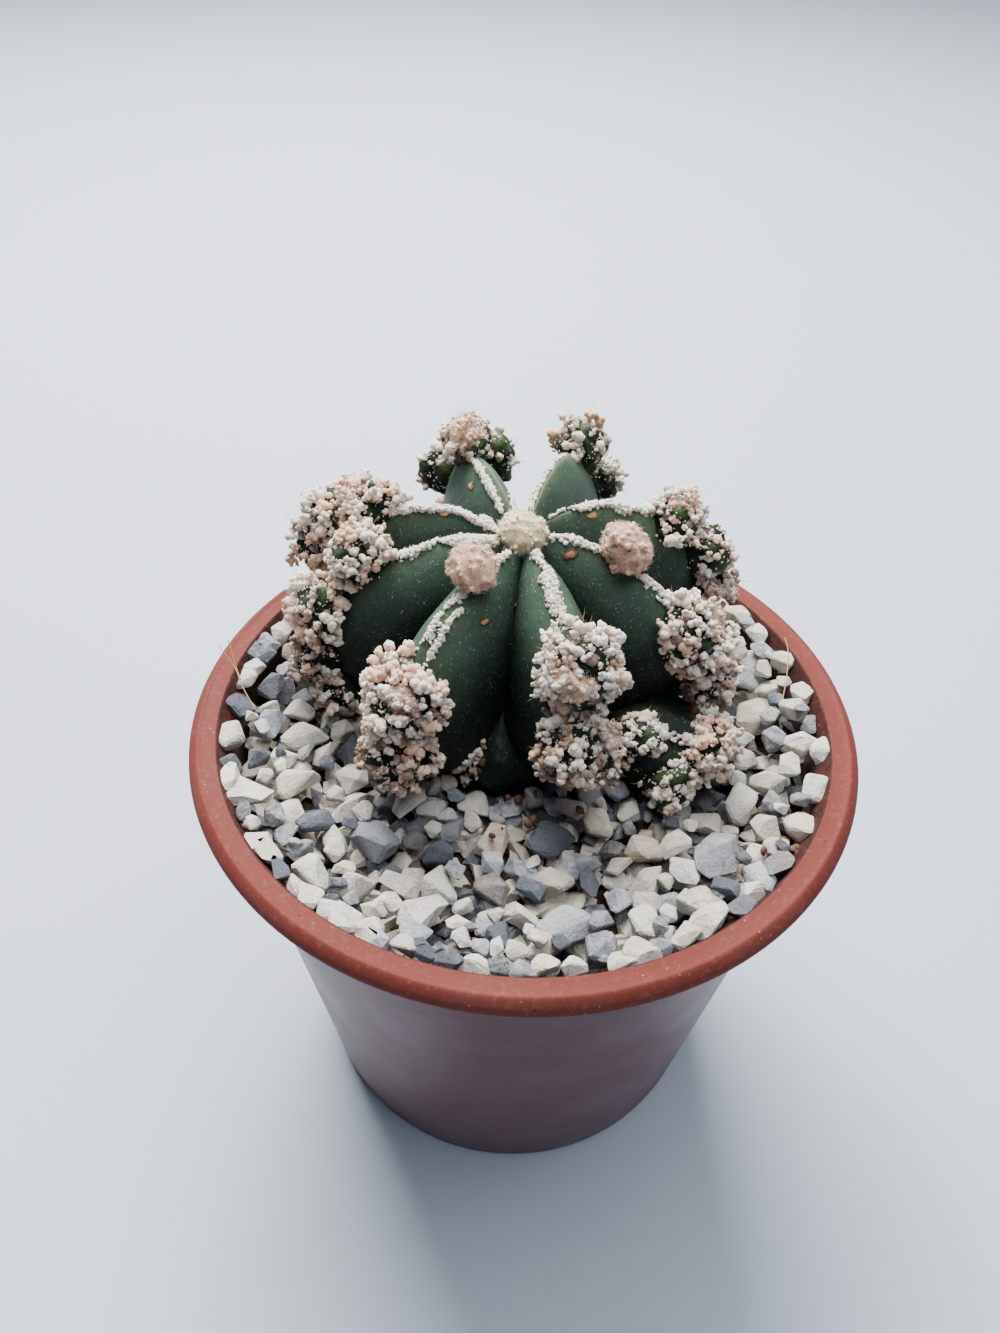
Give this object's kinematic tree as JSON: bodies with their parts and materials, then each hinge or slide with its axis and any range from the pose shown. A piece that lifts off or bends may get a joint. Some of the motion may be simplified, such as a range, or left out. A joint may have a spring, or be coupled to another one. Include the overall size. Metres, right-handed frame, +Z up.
{
  "type": "potted bishop's cap cactus",
  "caption": "Round ribbed cactus with woolly areole heads along its rib crests, planted in a tapered round nursery pot with soil and a stone chip top dressing.",
  "frame": {"origin": "middle of the pot's underside, on the surface it stands on", "axes": "+Z up, +Y towards the back of the plant as pictured, +X to the right"},
  "size_m": [0.085, 0.085, 0.0946],
  "materials": {
    "pot": "thin moulded plastic, terracotta coloured, satin",
    "soil": "damp dark cactus soil",
    "stone_grey": "dry matt blue-grey stone chips",
    "stone_pale": "dry matt cream stone chips",
    "stem": "dark blue-green plant skin, satin, with fine pale flecks",
    "wool": "cream to buff plant wool, felted and fluffy"
  },
  "bodies": {
    "root": {"pot": "pot", "soil": "soil", "gravel_grey": "stone_grey", "gravel_pale": "stone_pale", "cactus_stem": "stem", "wool_crown": "wool", "wool_front_right": "wool", "wool_right": "wool", "wool_back_right": "wool", "wool_back": "wool", "wool_back_left": "wool", "wool_left_back": "wool", "wool_left": "wool", "wool_front_left": "wool", "wool_foot_front": "wool", "wool_foot_right": "wool"}
  },
  "joints": []
}
